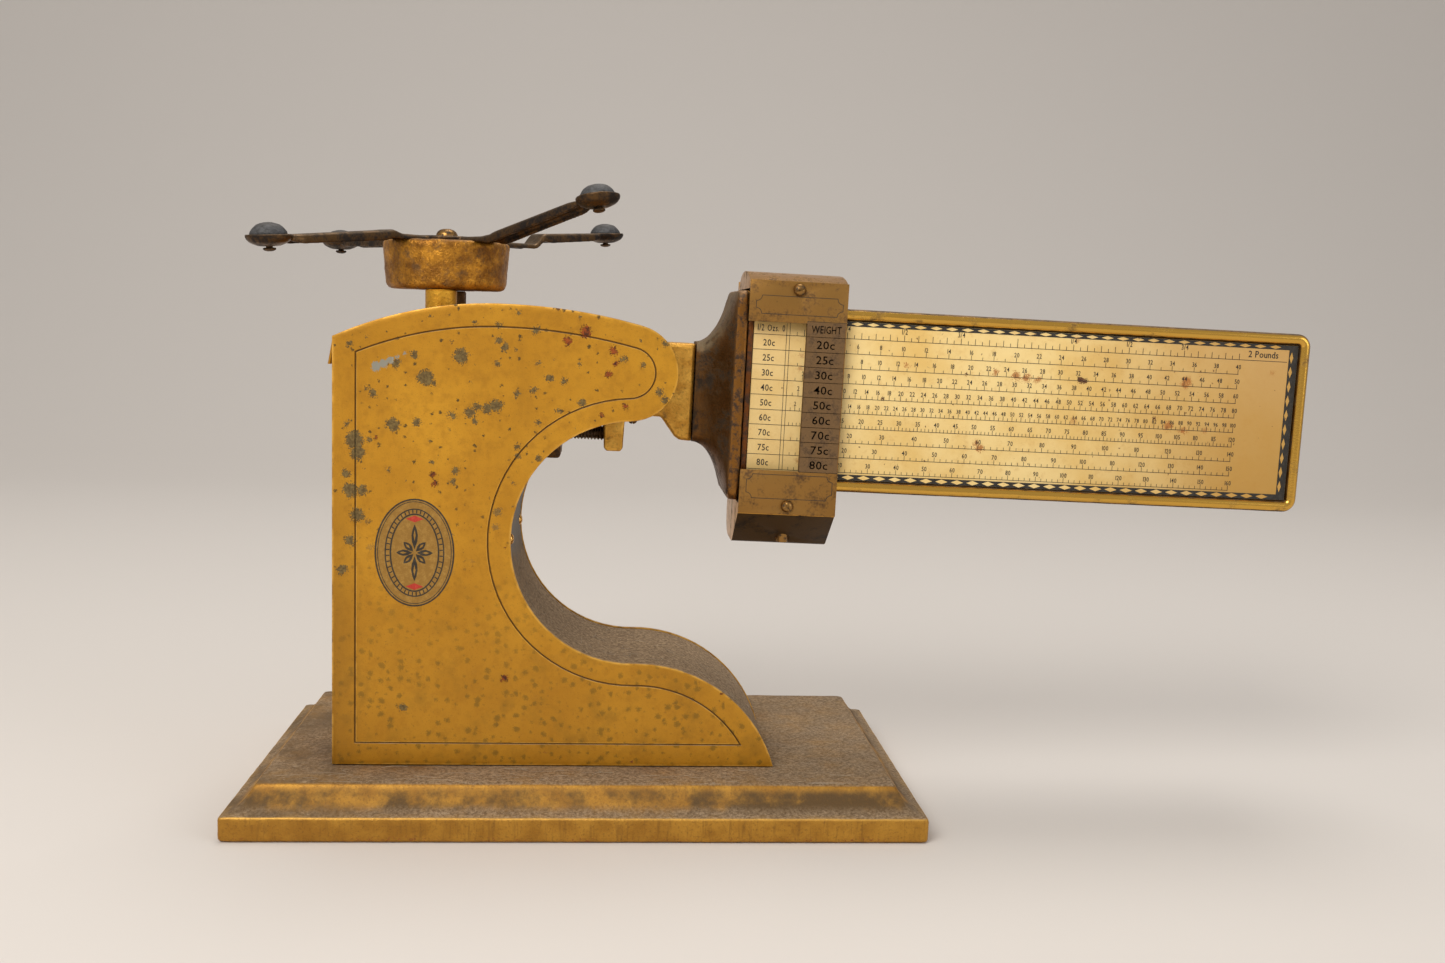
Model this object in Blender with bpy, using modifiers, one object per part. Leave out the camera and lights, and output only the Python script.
"""Computing counter scale: a brass-finished beam scale with a price chart on the beam.

Sizes below are in millimetres and become metres where a mesh or a curve is made. +Z is up and the
front of the scale looks along -Y. The origin is under the middle of the base, on its rest face.
"""

import math

import bmesh
import bpy
from mathutils import Matrix, Vector

MM = 0.001
GAP = 0.3  # clearance between pieces that touch or nest

# Base casting
BASE_LENGTH = 250.0
BASE_DEPTH = 148.0
BASE_HEIGHT = 18.1
BASE_CORNER = 1.6
# (how far in from the slab's side, height) from the rest face up to the top plate
BASE_STEPS = ((0.5, 0.0), (0.0, 0.5), (0.0, 8.3), (0.8, 9.1), (3.0, 9.5), (5.6, 10.8),
              (7.8, 12.9), (9.4, 15.4), (10.3, 17.3), (11.3, 18.1))

# Casing: a flat-sided housing that overhangs to the right as a nose above an open throat
MID_Y = -11.0  # the middle of the casing and of the whole mechanism
CASING_WIDTH = 65.0
CASING_FLOOR = BASE_HEIGHT + GAP
CASING_LEFT = -91.5
CREST_X = -33.0
CREST_Z = 188.2
CREST_LEFT_RADIUS = 136.0
CREST_RIGHT_RADIUS = 210.0
CREST_TURN = math.radians(14.3)  # how far the crest arc runs before it meets the nose
NOSE_RADIUS = 17.6
THROAT_RADIUS = 44.9
THROAT_TURN = math.radians(2.6)
FOOT_RADIUS = 54.0
FOOT_TURN = math.radians(1.3)
SIDE_PLATE = 1.5
SHEET = 1.1
COVER_END = math.radians(48.0)  # where the cover stops on the nose, to let the neck out
FLAP_DROP = 10.0
FLAP_FLARE = 1.8
FLAP_LAP = 8.0  # how far down the end wall stops, behind the flap
WALL_INSET = 1.0
WALL_START = math.radians(146.0)  # where the throat wall starts, under the open nose

# Cheeks that carry the bearings inside the casing
CHEEK_INSET = 2.6
CHEEK_IN = 24.0
CHEEK_OUT = 28.0
LUG_IN = 14.0
LUG_LEFT = (-74.0, -50.0)
LUG_RIGHT = (14.0, 38.0)
LUG_HEIGHT = 5.6
SHELF_IN = 15.5
TIE_RADIUS = 4.0

# Lever geometry, from the fulcrum
FULCRUM_X = 6.0
FULCRUM_Z = 158.0
REST_TILT = math.radians(1.4)  # the beam rests on its lower stop, right end down
LEVER_ARM = 61.0
CHECK_DROP = 112.0  # the check link runs this far below the lever, parallel to it
KNIFE_HALF = 22.8
LEVER_HALF = 6.0
NECK_HALF = 11.0
NECK_END = 33.0
ROD_Z = -17.8
ROD_RADIUS = 3.0
ROD_ENDS = (-44.2, 7.2)

# Beam head and chart frame, along the beam from the fulcrum
BELL_START = 33.3
BELL_END = 50.9
FLANGE_HALF_Z = 39.3
FLANGE_HALF_Y = 23.7
FRAME_START = 51.2
FRAME_END = 267.2
FRAME_HALF_Z = 34.25
FRAME_CORNER = 5.0
RIM_WIDTH = 4.2
RIM_FRONT = 22.6
CHART_FRONT = 20.9
CHART_THICK = 1.0
STRIP_WIDTH = 1.9

# Poise that slides along the chart frame
POISE_LEFT = 50.9
POISE_RIGHT = 87.4
POISE_HALF_Y = 24.0
POISE_PLATE = 1.2
POISE_PLATE_HALF_Z = 43.2
POISE_INNER_Z = 34.85
POISE_SCREW_Z = 40.1
WINDOW_TOP = 28.0
WINDOW_BOTTOM = -26.9
COLUMN_LEFT = 72.5

# Load head and pan spider, from the load knife edge
POST_RADIUS = 5.75
POST_Y = 17.0
STIRRUP_TOP = 13.0
DRUM_BOTTOM = 33.5
DRUM_TOP = 51.1
DRUM_RADIUS = 23.3
SPIDER_TOP = 52.8
SPIDER_SHEET = 1.3
HUB_RADIUS = 14.5
ARM_HALF_WIDTH = 4.75
DISH_RADIUS = 7.75
SEAT_LEAN = 0.75  # a seat leans this part of its arm's slope
# name: (reach in x, reach in y, radius of the joggle, its rise, height of the dish rim over the hub)
ARMS = {
    "front_left": (-52.0, -60.0, 27.0, 1.2, -3.7),
    "rear_left": (-50.0, 60.0, 27.0, 1.0, 0.7),
    "rear_right": (59.0, 60.0, 44.0, 4.4, 7.0),
    "front_right": (56.8, -60.0, 27.0, 0.6, 12.7),
}


# ---------------------------------------------------------------- scene and small helpers

def clear_scene():
    for obj in list(bpy.data.objects):
        bpy.data.objects.remove(obj, do_unlink=True)


def new_collection(name):
    collection = bpy.data.collections.new(name)
    bpy.context.scene.collection.children.link(collection)
    return collection


def new_material(name, colour, metallic, roughness):
    material = bpy.data.materials.new(name)
    material.use_nodes = True
    shader = material.node_tree.nodes["Principled BSDF"]
    shader.inputs["Base Color"].default_value = (*colour, 1.0)
    shader.inputs["Metallic"].default_value = metallic
    shader.inputs["Roughness"].default_value = roughness
    return material


def new_empty(name, x, y, z, tilt=0.0, parent=None):
    """A pivot: what is parented to it is placed from it, and turned with it about Y."""
    empty = bpy.data.objects.new(name, None)
    SCALE.objects.link(empty)
    empty.parent = parent
    empty.location = Vector((x, y, z)) * MM
    empty.rotation_euler = (0.0, tilt, 0.0)
    return empty


def add_object(name, data, material, pivot, cutter=False):
    obj = bpy.data.objects.new(name, data)
    (CUTTERS if cutter else SCALE).objects.link(obj)
    obj.parent = pivot
    if cutter:
        obj.hide_render = True
        obj.display_type = "WIRE"
    else:
        obj.data.materials.append(material)
    return obj


def arc(centre, radius, start, end, steps):
    """Points on a circle from one angle to another, both ends included."""
    return [
        (centre[0] + radius * math.cos(start + (end - start) * i / steps),
         centre[1] + radius * math.sin(start + (end - start) * i / steps))
        for i in range(steps + 1)
    ]


def circle(x, y, radius, steps=14):
    return arc((x, y), radius, 0.0, 2 * math.pi, steps)[:-1]


# An outline lies in one plane and is extruded along the axis named here.
TURNS = {
    "X": Matrix(((0, 0, 1), (1, 0, 0), (0, 1, 0))),
    "Y": Matrix(((1, 0, 0), (0, 0, -1), (0, 1, 0))),
    "Z": Matrix.Identity(3),
}


def slab(name, loops, low, high, material, pivot, axis="Y", edge=0.0, cutter=False):
    """A flat outline (its first loop, less the other loops) as thick as low to high along axis."""
    curve = bpy.data.curves.new(name, "CURVE")
    curve.dimensions = "2D"
    curve.fill_mode = "BOTH"
    curve.extrude = (high - low) / 2 * MM - edge * MM
    curve.bevel_depth = edge * MM
    curve.offset = -edge * MM
    curve.bevel_resolution = 0
    for loop in loops:
        spline = curve.splines.new("POLY")
        spline.points.add(len(loop) - 1)
        spline.use_cyclic_u = True
        for point, (u, v) in zip(spline.points, loop):
            point.co = (u * MM, v * MM, 0.0, 1.0)
    obj = add_object(name, curve, material, pivot, cutter)
    middle = {"X": (1, 0, 0), "Y": (0, 1, 0), "Z": (0, 0, 1)}[axis]
    obj.location = Vector(middle) * (low + high) / 2 * MM
    obj.rotation_euler = TURNS[axis].to_euler()
    return obj


def as_mesh(curve_object):
    """The same object as a closed mesh, so that it can take a Boolean or be a cutter."""
    graph = bpy.context.evaluated_depsgraph_get()
    mesh = bpy.data.meshes.new_from_object(curve_object.evaluated_get(graph))
    shape = bmesh.new()
    shape.from_mesh(mesh)
    bmesh.ops.remove_doubles(shape, verts=shape.verts, dist=1e-6)
    bmesh.ops.recalc_face_normals(shape, faces=shape.faces)
    shape.to_mesh(mesh)
    shape.free()
    name = curve_object.name
    new = bpy.data.objects.new(name + "_mesh", mesh)
    curve_object.users_collection[0].objects.link(new)
    new.parent = curve_object.parent
    new.location = curve_object.location
    new.rotation_euler = curve_object.rotation_euler
    new.hide_render = curve_object.hide_render
    new.display_type = curve_object.display_type
    bpy.data.objects.remove(curve_object, do_unlink=True)
    new.name = name
    return new


def solid_slab(*args, **kwargs):
    return as_mesh(slab(*args, **kwargs))


def box(name, low, high, material, pivot, cutter=False, edge=0.0):
    """A box between two corners, with its edges rounded by a Bevel if edge is given."""
    shape = bmesh.new()
    bmesh.ops.create_cube(shape, size=1.0)
    size = [(b - a) * MM for a, b in zip(low, high)]
    middle = [(a + b) / 2 * MM for a, b in zip(low, high)]
    bmesh.ops.scale(shape, vec=size, verts=shape.verts)
    bmesh.ops.translate(shape, vec=middle, verts=shape.verts)
    mesh = bpy.data.meshes.new(name)
    shape.to_mesh(mesh)
    shape.free()
    obj = add_object(name, mesh, material, pivot, cutter)
    if edge:
        bevel = obj.modifiers.new("rounded edges", "BEVEL")
        bevel.width = edge * MM
        bevel.segments = 2
    return obj


def rod(name, start, axis, length, radius, material, pivot, cutter=False, sides=16):
    """A plain cylinder from start, along +axis."""
    shape = bmesh.new()
    bmesh.ops.create_cone(shape, cap_ends=True, segments=sides, radius1=radius * MM,
                          radius2=radius * MM, depth=length * MM)
    bmesh.ops.translate(shape, vec=(0, 0, length / 2 * MM), verts=shape.verts)
    mesh = bpy.data.meshes.new(name)
    shape.to_mesh(mesh)
    shape.free()
    mesh.shade_smooth()
    mesh.set_sharp_from_angle(angle=math.radians(40))
    obj = add_object(name, mesh, material, pivot, cutter)
    obj.location = Vector(start) * MM
    obj.rotation_euler = Vector(axis).to_track_quat("Z", "Y").to_euler()
    return obj


def turned(name, profile, closed, material, pivot, at=(0, 0, 0), axis=(0, 0, 1), steps=24):
    """A turned piece. The profile is (radius, height) pairs that run down its outer side."""
    mesh = bpy.data.meshes.new(name)
    count = len(profile)
    edges = [(i, i + 1) for i in range(count - 1)] + ([(count - 1, 0)] if closed else [])
    mesh.from_pydata([(r * MM, 0.0, z * MM) for r, z in profile], edges, [])
    obj = add_object(name, mesh, material, pivot)
    screw = obj.modifiers.new("turn", "SCREW")
    screw.steps = steps
    screw.render_steps = steps
    screw.use_merge_vertices = True
    screw.merge_threshold = 1e-6
    screw.use_smooth_shade = True
    obj.location = Vector(at) * MM
    obj.rotation_euler = Vector(axis).to_track_quat("Z", "Y").to_euler()
    return obj


def cut(obj, cutter, operation="DIFFERENCE"):
    boolean = obj.modifiers.new(operation.lower(), "BOOLEAN")
    boolean.operation = operation
    boolean.solver = "EXACT"
    boolean.object = cutter
    return obj


def rounded_rectangle(half_u, half_v, radius, steps=4):
    """Corner arcs of a rectangle about the origin, anticlockwise from the lower right corner."""
    points = []
    for su, sv, start in ((1, -1, -90), (1, 1, 0), (-1, 1, 90), (-1, -1, 180)):
        centre = (su * (half_u - radius), sv * (half_v - radius))
        turn = math.radians(start)
        points += arc(centre, radius, turn, turn + math.pi / 2, steps)
    return points


def loft(name, rings, material, pivot, cutter=False, close_path=False):
    """Joins equal rings of points into one closed skin. An open path gets a cap at each end."""
    shape = bmesh.new()
    rows = [[shape.verts.new(Vector(point) * MM) for point in ring] for ring in rings]
    pairs = list(zip(rows, rows[1:]))
    if close_path:
        pairs.append((rows[-1], rows[0]))
    for first, second in pairs:
        for i in range(len(first)):
            j = (i + 1) % len(first)
            shape.faces.new((first[i], first[j], second[j], second[i]))
    if not close_path:
        shape.faces.new(rows[0])
        shape.faces.new(rows[-1])
    bmesh.ops.recalc_face_normals(shape, faces=shape.faces)
    mesh = bpy.data.meshes.new(name)
    shape.to_mesh(mesh)
    shape.free()
    mesh.shade_smooth()
    mesh.set_sharp_from_angle(angle=math.radians(35))
    return add_object(name, mesh, material, pivot, cutter)


def round_screw(name, at, axis, head, height, shank, length, material, pivot, slot=0.0):
    """A round-head screw. at is under its head, and axis points out of the head."""
    profile = [(0.0, height), (head * 0.45, height * 0.9), (head * 0.85, height * 0.5), (head, 0.0),
               (shank, 0.0), (shank, -length), (0.0, -length)]
    screw = turned(name, profile, False, material, pivot, at, axis, steps=12)
    if slot:
        blade = box(name + "_slot", (-head - 1, -slot / 2, height * 0.45),
                    (head + 1, slot / 2, height + 1), None, pivot, cutter=True)
        blade.location = screw.location
        blade.rotation_euler = screw.rotation_euler
        cut(screw, blade)
    return screw


# ---------------------------------------------------------------- base and casing

def make_base():
    rings = []
    for inset, height in BASE_STEPS:
        outline = rounded_rectangle(BASE_LENGTH / 2 - inset, BASE_DEPTH / 2 - inset,
                                    max(BASE_CORNER - 0.25 * inset, 1.5), 4)
        rings.append([(x, y, height) for x, y in outline])
    base = loft("base_casting", rings, GOLD_PAINT, None)
    for x in (sum(LUG_LEFT) / 2, sum(LUG_RIGHT) / 2):
        for side in (-1, 1):
            y = MID_Y + side * (LUG_IN + CHEEK_IN) / 2
            cut(base, rod("hole", (x, y, -1), (0, 0, 1), 30, 2.4, None, None, cutter=True))
            cut(base, rod("sink", (x, y, -1), (0, 0, 1), 6.2, 4.9, None, None, cutter=True))
    return base


def make_base_screws():
    for place, x in (("left", sum(LUG_LEFT) / 2), ("right", sum(LUG_RIGHT) / 2)):
        for end, side in (("front", -1), ("rear", 1)):
            y = MID_Y + side * (LUG_IN + CHEEK_IN) / 2
            round_screw(f"base_screw_{end}_{place}", (x, y, 4.9), (0, 0, -1), 4.2, 3.0, 2.1, 18.0,
                        STEEL, None, slot=1.0)


def nose_centre():
    reach = CREST_RIGHT_RADIUS - NOSE_RADIUS
    return (CREST_X + reach * math.sin(CREST_TURN),
            CREST_Z - CREST_RIGHT_RADIUS + reach * math.cos(CREST_TURN))


def throat_centre():
    x, z = nose_centre()
    reach = NOSE_RADIUS + THROAT_RADIUS
    return x + reach * math.sin(THROAT_TURN), z - reach * math.cos(THROAT_TURN)


def foot_centre():
    x, z = throat_centre()
    reach = THROAT_RADIUS + FOOT_RADIUS
    return x + reach * math.sin(FOOT_TURN), z - reach * math.cos(FOOT_TURN)


def crest_path(inset, end):
    """From the upper left corner over the crest and onto the nose, down to the angle end."""
    left_radius = CREST_LEFT_RADIUS - inset
    left_centre = (CREST_X, CREST_Z - CREST_LEFT_RADIUS)
    corner = math.acos((CASING_LEFT + inset - CREST_X) / left_radius)
    quarter = math.pi / 2
    path = arc(left_centre, left_radius, corner, quarter, 7)
    path += arc((CREST_X, CREST_Z - CREST_RIGHT_RADIUS), CREST_RIGHT_RADIUS - inset,
                quarter, quarter - CREST_TURN, 6)[1:]
    nose = arc(nose_centre(), NOSE_RADIUS - inset, quarter - CREST_TURN, end, 10)
    return path + nose[1:]


def throat_path(inset, start, floor):
    """From the angle start on the throat, round it and down the foot to the height floor."""
    quarter = math.pi / 2
    path = arc(throat_centre(), THROAT_RADIUS + inset, start, 3 * quarter + FOOT_TURN, 18)
    centre = foot_centre()
    radius = FOOT_RADIUS - inset
    return path + arc(centre, radius, quarter + FOOT_TURN, math.asin((floor - centre[1]) / radius), 9)[1:]


def casing_outline(inset, floor):
    quarter = math.pi / 2
    outline = [(CASING_LEFT + inset, floor)]
    outline += crest_path(inset, THROAT_TURN - quarter)
    outline += throat_path(inset, quarter + THROAT_TURN, floor)[1:]
    return outline


def make_side_plates():
    half = CASING_WIDTH / 2
    outline = casing_outline(0.0, CASING_FLOOR)
    slab("casing_front_plate", [outline], -half, SIDE_PLATE - half, GOLD_PAINT, MECHANISM)
    slab("casing_rear_plate", [outline], half - SIDE_PLATE, half, GOLD_PAINT, MECHANISM)


def make_top_cover():
    """A band between the side plates, flush with their edges, with a flap over the end wall."""
    half = CASING_WIDTH / 2 - SIDE_PLATE - GAP
    outside = crest_path(0.0, COVER_END)
    inside = crest_path(SHEET, COVER_END)
    left, top = outside[0]
    flap = [(left - FLAP_FLARE, top - FLAP_DROP), (left - FLAP_FLARE + SHEET, top - FLAP_DROP)]
    outline = list(reversed(outside)) + flap + inside
    cover = solid_slab("casing_top_cover", [outline], -half, half, GOLD_PAINT, MECHANISM)
    x, _ = load_edge()
    for side in (-1, 1):
        cut(cover, rod("post_hole", (x, side * POST_Y, 170), (0, 0, 1), 30, POST_RADIUS + 1.5, None,
                       MECHANISM, cutter=True, sides=20))
    return cover


def make_end_wall():
    left = CASING_LEFT + 0.2
    half = CASING_WIDTH / 2 - SIDE_PLATE - GAP
    flange = left + 8.0
    outline = [(left, -half), (flange, -half), (flange, SHEET - half), (left + SHEET, SHEET - half),
               (left + SHEET, half - SHEET), (flange, half - SHEET), (flange, half), (left, half)]
    slab("casing_end_wall", [outline], CASING_FLOOR, crest_path(0, COVER_END)[0][1] - FLAP_LAP, GOLD_PAINT,
         MECHANISM, axis="Z")


def make_throat_wall():
    half = CASING_WIDTH / 2 - SIDE_PLATE - GAP
    outside = throat_path(WALL_INSET, WALL_START, CASING_FLOOR)
    inside = throat_path(WALL_INSET + SHEET, WALL_START, CASING_FLOOR)
    wall = solid_slab("casing_throat_wall", [outside + inside[::-1]], -half, half, BARE_SHEET, MECHANISM)
    for side in (-1, 1):
        cut(wall, throat_hole(side))
    return wall


def throat_face():
    """The leftmost point of the throat wall's face: x and z."""
    x, z = throat_centre()
    return x - THROAT_RADIUS - WALL_INSET, z


def throat_hole(side):
    x, z = throat_face()
    y = side * (CHEEK_IN + CHEEK_OUT) / 2
    return rod("hole", (x - 12, y, z), (1, 0, 0), 20, 1.5, None, MECHANISM, cutter=True, sides=12)


def make_throat_screws():
    x, z = throat_face()
    for end, side in (("front", -1), ("rear", 1)):
        y = side * (CHEEK_IN + CHEEK_OUT) / 2
        round_screw(f"throat_screw_{end}", (x + GAP, y, z), (1, 0, 0), 1.9, 1.5, 1.2, 9.0, BRASS, MECHANISM)


# ---------------------------------------------------------------- what stays still inside the casing

def make_cheek(end, side):
    """A cast C-shaped cheek: foot lugs, a column, and an arm into the nose with a bearing shelf."""
    near, far = sorted((side * CHEEK_IN, side * CHEEK_OUT))
    window = [(-80, 38), (-44, 38), (-44, 136), (-80, 136)]
    cheek = solid_slab(f"cheek_{end}", [casing_outline(CHEEK_INSET, CASING_FLOOR), window], near, far,
                       CAST_IRON, MECHANISM)
    inner = sorted((side * LUG_IN, side * (CHEEK_IN + 1)))
    for name, (low, high) in (("lug_left", LUG_LEFT), ("lug_right", LUG_RIGHT)):
        lug = box(f"{name}_{end}", (low, inner[0], CASING_FLOOR), (high, inner[1], CASING_FLOOR + LUG_HEIGHT),
                  None, MECHANISM, cutter=True)
        cut(cheek, lug, "UNION")
        screw_y = side * (LUG_IN + CHEEK_IN) / 2
        cut(cheek, rod("hole", ((low + high) / 2, screw_y, 10), (0, 0, 1), 20, 2.4, None, MECHANISM, cutter=True))
    ledge = sorted((side * SHELF_IN, side * (CHEEK_IN + 1)))
    shelf = box(f"shelf_{end}", (FULCRUM_X - 8, ledge[0], FULCRUM_Z - 8.2),
                (FULCRUM_X + 8, ledge[1], FULCRUM_Z - 5.8), None, MECHANISM, cutter=True)
    cut(cheek, shelf, "UNION")
    return cut(cheek, throat_hole(side))


def make_frame_fittings():
    span = CHEEK_IN - GAP
    for end, side in (("front", -1), ("rear", 1)):
        make_cheek(end, side)
        low, high = sorted((side * (SHELF_IN + GAP), side * span))
        x, z = FULCRUM_X, FULCRUM_Z
        vee = [(x - 7, z - 5.5), (x + 7, z - 5.5), (x + 7, z + 3.5), (x + 4.6, z + 3.5), (x, z - 0.35),
               (x - 4.6, z + 3.5), (x - 7, z + 3.5)]
        slab(f"fulcrum_bearing_{end}", [vee], low, high, STEEL, MECHANISM)
    rods = {"tie_rod_upper": (-20, 175, TIE_RADIUS), "tie_rod_lower": (-20, 30, TIE_RADIUS),
            "tail_stop_upper": (-78, tail_z(9.0) + 2.5 + GAP, 2.5),
            "tail_stop_lower": (-78, tail_z(-7.6) - 2.5 - GAP - LEVER_FALL, 2.5)}
    for name, (x, z, radius) in rods.items():
        rod(name, (x, -span, z), (0, 1, 0), 2 * span, radius, STEEL, MECHANISM)


LEVER_FALL = 3.9  # how far the tail drops when the beam swings up to its upper stop


def tail_z(height):
    """World height, at the stops, of a point this high on the tilted tail."""
    return FULCRUM_Z + height + (78 + FULCRUM_X) * math.sin(REST_TILT)


def load_edge():
    """World x and z of the load knife edge at rest."""
    return (FULCRUM_X - LEVER_ARM * math.cos(REST_TILT), FULCRUM_Z + LEVER_ARM * math.sin(REST_TILT))


# ---------------------------------------------------------------- the lever and what it carries

def knife(flip, grow=0.0):
    """A knife edge's section, its edge at the origin. flip is 1 for an edge that points down."""
    half = 3.0 + grow
    tip = -2.0 * grow
    return [(0.0, flip * tip), (half, flip * (5 - grow)), (half, flip * (8 + grow)),
            (-half, flip * (8 + grow)), (-half, flip * (5 - grow))]


def shifted(outline, x):
    return [(u + x, v) for u, v in outline]


def make_lever():
    bar = [(-86, -6), (-73, -7.6), (-71, -11.5), (-51, -11.5), (-45, -9.5), (-44.5, -23.5),
           (-43.5, -24.5), (-38.8, -24.5), (-37.8, -23.5), (-37.8, -9.6), (-0.6, -9.8), (-0.1, -23.2),
           (0.9, -24.4), (6.4, -24.4), (7.3, -23.2), (7.7, -10), (18, -10), (18, 14.5), (8, 11),
           (-20, 9), (-84, 9), (-86, 7)]
    neck = [(10.2, -9.9), (21, -10.1), (26.3, -17.2), (28.5, -18.5), (NECK_END, -18.8), (NECK_END, 18.3),
            (23, 18.3), (17, 15.6), (10.2, 12.2)]
    lever = solid_slab("main_lever", [bar], -LEVER_HALF, LEVER_HALF, GOLD_PAINT, BEAM)
    root = solid_slab("neck", [neck], -NECK_HALF, NECK_HALF, None, BEAM, edge=1.2, cutter=True)
    cut(lever, root, "UNION")
    for name, flip, x in (("fulcrum_seat", 1, 0.0), ("load_seat", -1, -LEVER_ARM)):
        seat = solid_slab(name, [shifted(knife(flip, GAP), x)], -20, 20, None, BEAM, cutter=True)
        cut(lever, seat)
    cut(lever, rod("rod_hole", (-50, 0, ROD_Z), (1, 0, 0), 62, ROD_RADIUS + GAP, None, BEAM, cutter=True))
    cut(lever, rod("screw_hole", (10.6, 0, -12), (0, 0, 1), 10, 1.8, None, BEAM, cutter=True, sides=12))
    round_screw("lever_screw", (10.6, 0, -10.0 - GAP), (0, 0, -1), 2.35, 3.6, 1.5, 7.0, STEEL, BEAM)
    slab("fulcrum_knife", [knife(1)], -KNIFE_HALF, KNIFE_HALF, STEEL, BEAM)
    slab("load_knife", [shifted(knife(-1), -LEVER_ARM)], -KNIFE_HALF, KNIFE_HALF, STEEL, BEAM)


def make_balance():
    """The zero adjustment: a slotted threaded rod that walks a weight along under the lever."""
    start, end = ROD_ENDS
    screw = rod("balance_screw", (start, 0, ROD_Z), (1, 0, 0), end - start, ROD_RADIUS, STEEL, BEAM)
    blade = box("rod_slot", (end - 1.6, -4, ROD_Z - 0.6), (end + 1, 4, ROD_Z + 0.6), None, BEAM, cutter=True)
    cut(screw, blade)
    weight = box("balance_weight", (-31.0, -12, -27.5), (-16.1, 12, -11.5), CAST_IRON, BEAM, edge=1.0)
    cut(weight, rod("weight_hole", (-33, 0, ROD_Z), (1, 0, 0), 20, ROD_RADIUS + GAP, None, BEAM, cutter=True))


def bell_rings(sections):
    return [[(x, y, z) for y, z in rounded_rectangle(half_y, half_z, radius, 4)]
            for x, half_y, half_z, radius in sections]


def make_bell():
    flare = [(BELL_START, 11.6, 19.0, 4), (36.0, 12.4, 19.9, 5), (39.0, 14.2, 22.2, 6),
             (42.0, 17.0, 26.6, 7.5), (44.3, 20.2, 32.0, 8.5), (45.8, 22.4, 36.3, 7),
             (46.6, 23.3, 38.3, 5.5), (47.6, FLANGE_HALF_Y, 39.1, 4.5), (50.0, FLANGE_HALF_Y, FLANGE_HALF_Z, 4),
             (BELL_END, 23.2, 38.7, 4)]
    bell = loft("beam_bell", bell_rings(flare), BRONZE, BEAM)
    hollow = [(38.0, 9.0, 16.0, 4), (42.0, 12.5, 21.0, 6), (46.0, 18.0, 30.0, 6), (BELL_END + 1, 19.5, 33.5, 5)]
    return cut(bell, loft("bell_hollow", bell_rings(hollow), None, BEAM, cutter=True))


def make_chart_frame():
    """One bent rail round the top, the right end and the bottom, with a rolled rim on each face."""
    front = [(0.0, -20.2), (0.5, -21.8), (1.7, -RIM_FRONT), (3.0, -22.3), (4.0, -21.2), (RIM_WIDTH, -19.6),
             (6.5, -19.6), (6.5, -18.2), (1.6, -18.2)]
    section = front + [(inset, -y) for inset, y in reversed(front)]
    right = [[] for _ in section]
    for row, (inset, y) in zip(right, section):
        radius = max(FRAME_CORNER - inset, 0.4)
        x = FRAME_END - inset - radius
        z = FRAME_HALF_Z - inset - radius
        corners = arc((x, -z), radius, -math.pi / 2, 0.0, 5) + arc((x, z), radius, 0.0, math.pi / 2, 5)
        row += [(FRAME_START, y, -z - radius)] + [(u, y, v) for u, v in corners] + [(FRAME_START, y, z + radius)]
    loft("chart_frame", list(zip(*right)), BRASS, BEAM)


def make_charts():
    left = FRAME_START + 0.1 + STRIP_WIDTH + GAP
    right = FRAME_END - RIM_WIDTH - GAP
    half = FRAME_HALF_Z - RIM_WIDTH - GAP
    for end, side in (("front", -1), ("rear", 1)):
        low, high = sorted((side * CHART_FRONT, side * (CHART_FRONT - CHART_THICK)))
        slab(f"chart_plate_{end}", [[(left, -half), (right, -half), (right, half), (left, half)]], low, high,
             CHART_CREAM, BEAM)
        low, high = sorted((side * (CHART_FRONT + 0.6), side * (CHART_FRONT - CHART_THICK)))
        start = FRAME_START + 0.1
        slab(f"chart_strip_{end}", [[(start, -half), (start + STRIP_WIDTH, -half),
                                     (start + STRIP_WIDTH, half), (start, half)]], low, high, BRASS, BEAM)


# ---------------------------------------------------------------- poise

def make_poise():
    top = [(-24, POISE_INNER_Z), (24, POISE_INNER_Z), (24, 38.5), (21, 41.8), (16, 44.6), (9, 46.3), (0, 46.8),
           (-9, 46.3), (-17, 44.9), (-24, 42.9)]
    bottom = [(-24, -43.6), (-6, -56.4), (-3, -57.2), (14, -57.2), (19, -56.0), (22.5, -53.0), (24, -49.0),
              (24, -POISE_INNER_Z), (-24, -POISE_INNER_Z)]
    middle = (POISE_LEFT + POISE_RIGHT) / 2
    for name, section, sign in (("poise_top_bar", top, 1), ("poise_bottom_bar", bottom, -1)):
        bar = solid_slab(name, [section], POISE_LEFT, POISE_RIGHT, BRASS, BEAM, axis="X")
        low, high = sorted((sign * 30.0, sign * (FLANGE_HALF_Z + 0.6)))
        cut(bar, box(name + "_rebate", (POISE_LEFT - 2, -26, low), (57.2, 26, high), None, BEAM, cutter=True))
        cut(bar, rod(name + "_bore", (middle, -30, sign * POISE_SCREW_Z), (0, 1, 0), 60, 1.8, None, BEAM,
                     cutter=True, sides=12))
        if sign < 0:
            cut(bar, rod("brake_bore", (70, -9, -60), (0, 0, 1), 30, 2.5, None, BEAM, cutter=True, sides=14))
    brake = rod("poise_brake_screw", (70, -9, -55.8), (0, 0, 1), 20.6, 2.2, STEEL, BEAM, sides=14)
    cut(brake, box("brake_slot", (66, -9.5, -58), (74, -8.5, -54.4), None, BEAM, cutter=True))


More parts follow.
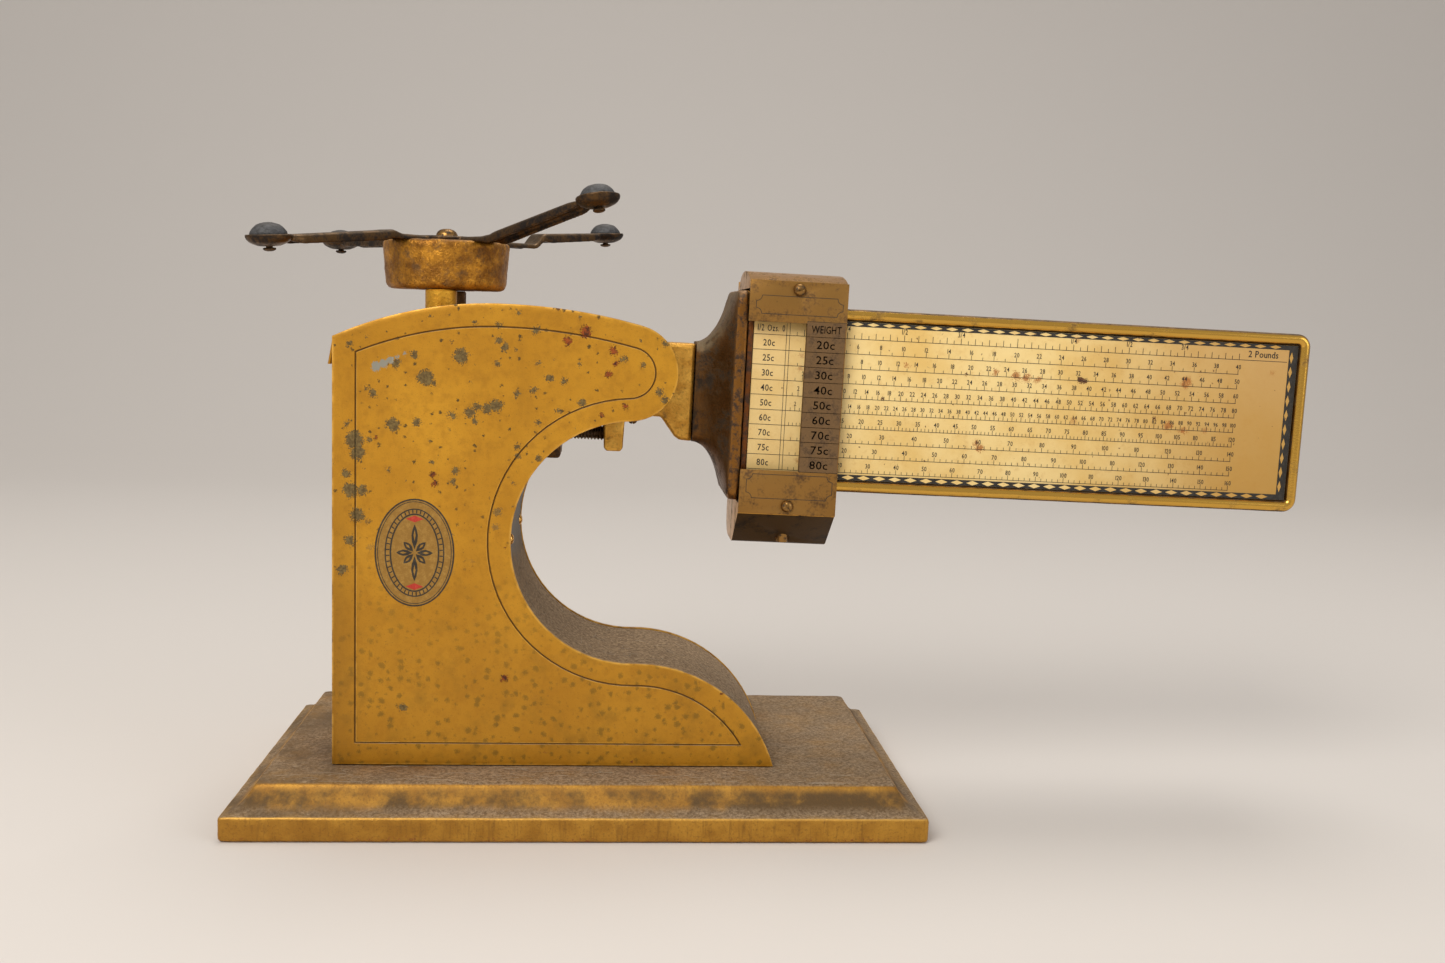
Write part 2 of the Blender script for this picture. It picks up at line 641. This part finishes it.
def make_poise_plates():
    z = POISE_PLATE_HALF_Z
    middle = (POISE_LEFT + POISE_RIGHT) / 2
    outline = [(POISE_LEFT, -z), (POISE_RIGHT, -z), (POISE_RIGHT, z), (POISE_LEFT, z), (POISE_LEFT, WINDOW_TOP),
               (COLUMN_LEFT, WINDOW_TOP), (COLUMN_LEFT, WINDOW_BOTTOM), (POISE_LEFT, WINDOW_BOTTOM)]
    holes = [circle(middle, sign * POISE_SCREW_Z, 1.8, 12) for sign in (-1, 1)]
    for end, side in (("front", -1), ("rear", 1)):
        face = side * (POISE_HALF_Y + GAP)
        low, high = sorted((face, face + side * POISE_PLATE))
        slab(f"poise_plate_{end}", [outline] + holes, low, high, BRASS, BEAM)
        seat = side * (POISE_HALF_Y + GAP + POISE_PLATE + GAP)
        for place, sign in (("upper", 1), ("lower", -1)):
            round_screw(f"poise_screw_{end}_{place}", (middle, seat, sign * POISE_SCREW_Z), (0, side, 0),
                        2.3, 1.7, 1.5, 10.0, BRASS, BEAM, slot=0.7)


# ---------------------------------------------------------------- load carrier

def make_stirrup():
    """Two arms astride the lever, a crossbar under it, and a stem down to the check link."""
    arm = [(-11, STIRRUP_TOP), (11, STIRRUP_TOP), (11, -15), (7, -19), (7, -48), (-7, -48), (-7, -19), (-11, -15)]
    window = [(-6.8, -13), (6.8, -13), (6.8, 8.3), (-6.8, 8.3)]
    stirrup = solid_slab("stirrup", [arm, window], -21, -13, CAST_IRON, CARRIER)
    rear = solid_slab("stirrup_rear_arm", [arm, window], 13, 21, None, CARRIER, cutter=True)
    crossbar = box("stirrup_crossbar", (-7, -21, -56), (7, 21, -47), None, CARRIER, cutter=True)
    stem = box("stirrup_stem", (-5, -5, -CHECK_DROP - 6), (5, 5, -50), None, CARRIER, cutter=True)
    for piece in (crossbar, rear, stem):
        cut(stirrup, piece, "UNION")
    cut(stirrup, rod("stem_hole", (0, -8, -CHECK_DROP), (0, 1, 0), 16, 2.8, None, CARRIER, cutter=True))
    vee = [(-6.5, 8.0), (-6.5, -4.0), (-4.6, -4.0), (0.0, 0.35), (4.6, -4.0), (6.5, -4.0), (6.5, 8.0)]
    for end, low in (("front", -21.0), ("rear", 13.0)):
        slab(f"load_bearing_{end}", [vee], low, low + 8.0, STEEL, CARRIER)


def make_load_head():
    for end, side in (("front", -1), ("rear", 1)):
        rod(f"post_{end}", (0, side * POST_Y, STIRRUP_TOP + GAP), (0, 0, 1),
            DRUM_BOTTOM - STIRRUP_TOP - 2 * GAP, POST_RADIUS, GOLD_PAINT, CARRIER, sides=24)
    profile = [(2.4, DRUM_TOP), (22.4, DRUM_TOP), (DRUM_RADIUS, 50.2), (23.2, 46.5), (22.1, 35.4), (21.4, 34.0),
               (20.0, DRUM_BOTTOM), (2.4, DRUM_BOTTOM)]
    turned("load_head", profile, True, GOLD_PAINT, CARRIER, steps=36)
    round_screw("spider_screw", (0, 0, SPIDER_TOP + 0.2 + GAP), (0, 0, 1), 4.2, 2.8, 2.0, 14.0, STEEL, CARRIER)


def seat_slope(reach_x, reach_y, joggle, rise, tip):
    """How steeply the seat at an arm's end leans: most of the arm's own slope."""
    return SEAT_LEAN * (tip - rise) / (math.hypot(reach_x, reach_y) - joggle - 6)


def seat_axis(reach_x, reach_y, joggle, rise, tip):
    reach = math.hypot(reach_x, reach_y)
    lean = -seat_slope(reach_x, reach_y, joggle, rise, tip) / reach
    return (reach_x * lean, reach_y * lean, 1)


def arm_rings(reach_x, reach_y, joggle, rise, tip):
    """Channel sections along one arm: flat over the hub, then a joggle and turned-down edges."""
    reach = math.hypot(reach_x, reach_y)
    along = Vector((reach_x, reach_y, 0)) / reach
    across = Vector((-along.y, along.x, 0))
    slope = seat_slope(reach_x, reach_y, joggle, rise, tip)
    near, end = (tip - slope * away - 0.15 for away in (11, 6.75))
    # (distance from the hub's middle, rise, depth of the turned-down edges, half width)
    stations = [(6.0, 0.0, 1.4, ARM_HALF_WIDTH), (joggle - 3, 0.0, 1.4, ARM_HALF_WIDTH),
                (joggle + 2.5, rise, 3.2, ARM_HALF_WIDTH),
                (joggle + 6, rise + (near - rise) * 0.12, 3.8, ARM_HALF_WIDTH),
                (reach - 11, near, 3.3, ARM_HALF_WIDTH), (reach - 6.75, end, 2.4, 3.6)]
    rings = []
    for radius, lift, depth, wide in stations:
        slim, thick = wide - SPIDER_SHEET, SPIDER_SHEET
        section = [(-wide, 0), (wide, 0), (wide, -depth), (slim, -depth), (slim, -thick), (-slim, -thick),
                   (-slim, -depth), (-wide, -depth)]
        rings.append([along * radius + across * w + Vector((0, 0, SPIDER_TOP + lift + z)) for w, z in section])
    return rings


def make_spider():
    """The pan support, one pressed piece: a hub, four arms and a dished seat at each arm's end."""
    top = SPIDER_TOP + 0.2
    bottom = SPIDER_TOP - SPIDER_SHEET - 0.2
    hub = [(2.4, top), (HUB_RADIUS, top), (HUB_RADIUS, bottom), (2.4, bottom)]
    spider = turned("spider", hub, True, DARK_STEEL, CARRIER, steps=28)
    dish = [(6.6, 0.0), (DISH_RADIUS, 0.0), (7.4, -1.6), (5.8, -3.0), (3.5, -3.9), (1.5, -4.1), (1.5, -2.9),
            (3.2, -2.7), (5.0, -1.9), (6.3, -0.8)]
    for name, (x, y, joggle, rise, tip) in ARMS.items():
        arm = loft(f"arm_{name}", arm_rings(x, y, joggle, rise, tip), None, CARRIER, cutter=True)
        cut(spider, arm, "UNION")
        axis = seat_axis(x, y, joggle, rise, tip)
        seat = turned(f"dish_{name}", dish, True, None, CARRIER, (x, y, SPIDER_TOP + tip), axis, steps=18)
        as_helper(seat)
        cut(spider, seat, "UNION")
        make_pad(name, (x, y, SPIDER_TOP + tip), axis)
    return cut(spider, rod("hub_hole", (0, 0, 40), (0, 0, 1), 20, 2.4, None, CARRIER, cutter=True, sides=24))


def as_helper(obj):
    SCALE.objects.unlink(obj)
    CUTTERS.objects.link(obj)
    obj.hide_render = True
    obj.display_type = "WIRE"


def make_pad(name, at, axis):
    dome = [(0.0, 4.1), (2.6, 3.7), (4.6, 2.5), (5.9, 0.9), (6.15, 0.1), (5.8, -0.45), (4.5, -1.6), (2.9, -2.3),
            (0.0, -2.5)]
    turned(f"pad_{name}", dome, False, RUBBER, CARRIER, at, axis, steps=16)
    rivet = [(0.0, -2.85), (1.15, -2.85), (1.15, -4.45), (2.2, -4.55), (2.2, -5.1), (0.9, -5.7), (0.0, -5.7)]
    turned(f"pad_rivet_{name}", rivet, False, DARK_STEEL, CARRIER, at, axis, steps=10)


def make_check_link():
    """The lower bar of the parallelogram, which keeps the load head upright."""
    eye = 5.5
    ends = arc((0, 0), eye, -math.pi / 2, math.pi / 2, 8) + arc((-LEVER_ARM, 0), eye, math.pi / 2, 1.5 * math.pi, 8)
    holes = [circle(0, 0, 2.8), circle(-LEVER_ARM, 0, 2.8)]
    slab("check_link", [ends] + holes, -9.8, -5.4, STEEL, CHECK)
    span = CHEEK_IN - GAP
    rod("check_pin_frame", (FULCRUM_X, -span, FULCRUM_Z - CHECK_DROP), (0, 1, 0), 2 * span, 2.5, STEEL, MECHANISM)
    rod("check_pin_stirrup", (0, -11.5, -CHECK_DROP), (0, 1, 0), 18.5, 2.5, STEEL, CARRIER)


# ---------------------------------------------------------------- build

clear_scene()
SCALE = new_collection("computing_counter_scale")
CUTTERS = new_collection("cutters")

GOLD_PAINT = new_material("gold_paint", (0.62, 0.40, 0.08), 0.6, 0.45)
BRASS = new_material("brass", (0.55, 0.40, 0.15), 1.0, 0.35)
BRONZE = new_material("dark_bronze", (0.22, 0.15, 0.07), 0.8, 0.5)
BARE_SHEET = new_material("dusty_sheet", (0.35, 0.29, 0.22), 0.2, 0.8)
CAST_IRON = new_material("cast_iron", (0.12, 0.11, 0.10), 0.8, 0.6)
STEEL = new_material("steel", (0.35, 0.33, 0.30), 1.0, 0.4)
DARK_STEEL = new_material("dark_steel", (0.12, 0.09, 0.06), 0.9, 0.45)
RUBBER = new_material("grey_rubber", (0.10, 0.11, 0.12), 0.0, 0.7)
CHART_CREAM = new_material("chart_cream", (0.72, 0.60, 0.33), 0.0, 0.5)

MECHANISM = new_empty("mechanism_plane", 0, MID_Y, 0)
BEAM = new_empty("fulcrum_axis", FULCRUM_X, 0, FULCRUM_Z, REST_TILT, MECHANISM)
CARRIER = new_empty("load_axis", load_edge()[0], 0, load_edge()[1], 0.0, MECHANISM)
CHECK = new_empty("check_axis", FULCRUM_X, 0, FULCRUM_Z - CHECK_DROP, REST_TILT, MECHANISM)
bpy.context.view_layer.update()

make_base()
make_base_screws()
make_side_plates()
make_top_cover()
make_end_wall()
make_throat_wall()
make_throat_screws()
make_frame_fittings()
make_lever()
make_balance()
make_bell()
make_chart_frame()
make_charts()
make_poise()
make_poise_plates()
make_stirrup()
make_load_head()
make_spider()
make_check_link()
